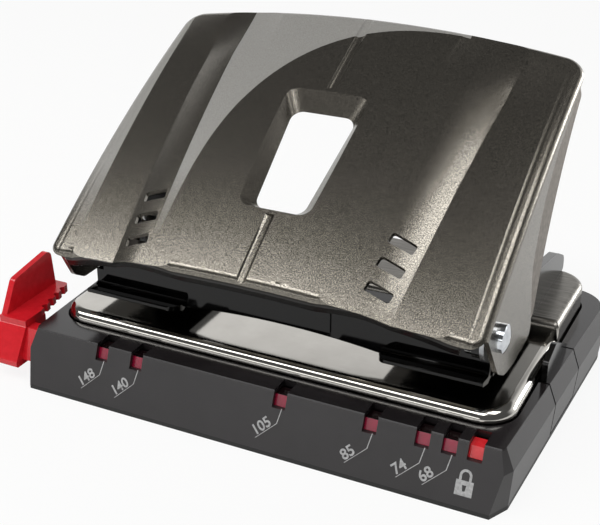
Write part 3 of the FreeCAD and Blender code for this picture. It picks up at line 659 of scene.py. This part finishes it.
kept = skin.attributes["solid_normal"].data
shading = [None] * len(skin.loops)
for face in skin.polygons:
    for loop in face.loop_indices:
        corner = skin.vertices[skin.loops[loop].vertex_index]
        just_inside = corner.co.lerp(face.center, 0.03)
        shading[loop] = pressed_normal(kept[loop].vector.normalized(), just_inside)
for corner in skin.vertices:
    x, u, w, side = on_sheet(corner.co)
    if HOLLOW_START < x < GROOVE_X + GROOVE_HALF:
        corner.co += OFF_LEVER * bend(x, u) * min(max(w / FULL_BEND, 0), 1) / 1000
skin.normals_split_custom_set(shading)
skin.attributes.remove(skin.attributes["solid_normal"])
shell.select_set(False)
skin.materials.clear()
skin.materials.append(graphite)
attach(shell, "handle")
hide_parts("handle_shell")

# Arms and press studs: the arms are thicker pressed steel in a satin coat that scatters the light,
# riveted inside the flanges.  The studs are turned and ground, and press on the caps.
satin, tree = new_material("satin_coated_steel")
cloud = grain(tree, 1.1)
tone = add(
    tree, "ShaderNodeValToRGB", {"stops": ((0.3, "6b655e"), (0.7, "857e76"))}, {0: cloud.outputs["Fac"]}
)
coat = add(
    tree, "ShaderNodeBsdfPrincipled", {"Metallic": 0.7, "Roughness": 0.45}, {"Base Color": tone.outputs[0]}
)
paint(finished(satin, coat), *both("lever_arm"))
paint(ground, *both("press_stud"))

# Pivots: rivets with domed heads in bright chrome, which mirror the room, through arms, flanges and
# frame, with plain zinc-plated washers behind the flanges.
paint(metal("bright_chrome", "c4c8ce", "dde0e4", 0.14, 1.1), *both("pivot_pin"))
paint(zinc, *both("pivot_washer"))

# Printed stops: hair lines and numbers in pale grey ink, flat and a little worn, on the sloping front
# face, one for each notch.  A number is the distance in millimetres from the middle of the holes to
# the guide.
ink, tree = new_material("pale_grey_ink")
worn = grain(tree, 0.5)
tone = add(
    tree, "ShaderNodeValToRGB", {"stops": ((0.3, "9c9c9c"), (0.7, "bdbdbd"))}, {0: worn.outputs["Fac"]}
)
ink_skin = add(tree, "ShaderNodeBsdfPrincipled", {"Roughness": 0.6}, {"Base Color": tone.outputs[0]})
finished(ink, ink_skin)

# The face starts at the deck's front edge and falls 12 mm over a run of 4.9 mm.
FACE_EDGE = Vector((0, -0.0336, 0.013))
FACE_TURN = math.radians(90) - math.atan2(4.9, 12.0)
INK_LIFT = 0.00003
LINE_WIDTH = 0.0002
LINE_START = 5.1
NUMBER_START = 10.3
NUMBER_TURN = 43.6
NUMBER_SIZE = 0.0031


def pick(piece, wanted):
    """In edit mode, selects the corners that the test picks out."""
    bpy.ops.object.mode_set(mode="EDIT")
    bpy.ops.mesh.select_mode(type="VERT")
    bpy.ops.mesh.select_all(action="DESELECT")
    bpy.ops.object.mode_set(mode="OBJECT")
    for corner in piece.data.vertices:
        corner.select = wanted(corner.co)
    bpy.ops.object.mode_set(mode="EDIT")


def print_on_face(piece, name, x, down, turn=0.0):
    """Lays a flat piece on the front face, x across and down from its top edge, in millimetres."""
    bpy.ops.object.mode_set(mode="OBJECT")
    piece.name = piece.data.name = name
    piece.data.materials.clear()
    piece.data.materials.append(ink)
    piece.rotation_euler = (0, 0, turn)
    piece.location = (x / 1000, -down / 1000, INK_LIFT)
    bpy.ops.object.transform_apply()
    piece.rotation_euler = (FACE_TURN, 0, 0)
    piece.location = FACE_EDGE
    bpy.ops.object.transform_apply()
    piece.select_set(False)
    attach(piece, "base")


def stop_number(name, words, x):
    """A number on its line."""
    bpy.ops.object.text_add(location=(0, 0, 0))
    text = bpy.context.active_object
    text.data.body = words
    text.data.size = NUMBER_SIZE
    text.data.offset = 0.00006
    bpy.ops.object.convert(target="MESH")
    print_on_face(bpy.context.active_object, name, x, NUMBER_START, math.radians(NUMBER_TURN))


# One line is modelled: down from the notch, then turned and run on under the number.
bpy.ops.mesh.primitive_plane_add(size=1, location=(0, 0, 0))
line = bpy.context.active_object
bpy.ops.object.mode_set(mode="EDIT")
bpy.ops.transform.resize(value=(LINE_WIDTH, 0.0032, 1))
pick(line, lambda corner: corner.y < 0)
bpy.ops.transform.translate(value=(-0.0006, 0, 0))
bpy.ops.mesh.extrude_region_move(TRANSFORM_OT_translate={"value": (-0.0042, -0.0040, 0)})
bpy.ops.object.mode_set(mode="OBJECT")
line.select_set(False)
stops = ((-36.2, "148"), (-27.4, "140"), (7.3, "105"), (27.3, "85"), (38.3, "74"), (43.8, "68"))
for place, (x, words) in enumerate(stops, 1):
    stop_line = bpy.data.objects.new("stop_line", line.data.copy())
    scene.collection.objects.link(stop_line)
    bpy.context.view_layer.objects.active = stop_line
    stop_line.select_set(True)
    print_on_face(stop_line, "stop_line_%d" % place, x + 0.8, LINE_START)
    stop_number("stop_number_%d" % place, words, x - 4.1)
bpy.data.objects.remove(line)

# Padlock under the last notch, where the guide is locked home: a body with a keyhole and a bent
# shackle, printed in the same ink.
PADLOCK_X = 48.0
bpy.ops.mesh.primitive_plane_add(size=1, location=(0, 0, 0))
padlock = bpy.context.active_object
bpy.ops.object.mode_set(mode="EDIT")
bpy.ops.transform.resize(value=(0.0035, 0.0030, 1))
for cut_at, cut_along in (
    ((-0.00025, 0, 0), (1, 0, 0)), ((0.00025, 0, 0), (1, 0, 0)),
    ((0, -0.0006, 0), (0, 1, 0)), ((0, 0.0006, 0), (0, 1, 0)),
):
    bpy.ops.mesh.select_all(action="SELECT")
    bpy.ops.mesh.bisect(plane_co=cut_at, plane_no=cut_along)
pick(padlock, lambda corner: abs(corner.x) < 0.0003 and abs(corner.y) < 0.0007)
bpy.ops.mesh.delete(type="ONLY_FACE")
pick(padlock, lambda corner: abs(corner.x) < 0.0003 and 0.0005 < corner.y < 0.0007)
bpy.ops.transform.resize(value=(1.7, 1, 1))
print_on_face(padlock, "padlock_body", PADLOCK_X, 9.2)

bpy.ops.mesh.primitive_plane_add(size=1, location=(0, 0, 0))
shackle = bpy.context.active_object
bpy.ops.object.mode_set(mode="EDIT")
bpy.ops.transform.resize(value=(0.0005, 0.0011, 1))
bpy.ops.transform.translate(value=(0.0010, -0.00055, 0))
pick(shackle, lambda corner: corner.y > -0.0001)
bpy.ops.mesh.spin(steps=12, angle=-math.pi, center=(0, 0, 0), axis=(0, 0, 1))
pick(shackle, lambda corner: corner.x < 0 and abs(corner.y) < 0.00002)
bpy.ops.mesh.extrude_region_move(TRANSFORM_OT_translate={"value": (0, -0.0011, 0)})
print_on_face(shackle, "padlock_shackle", PADLOCK_X, 6.7)
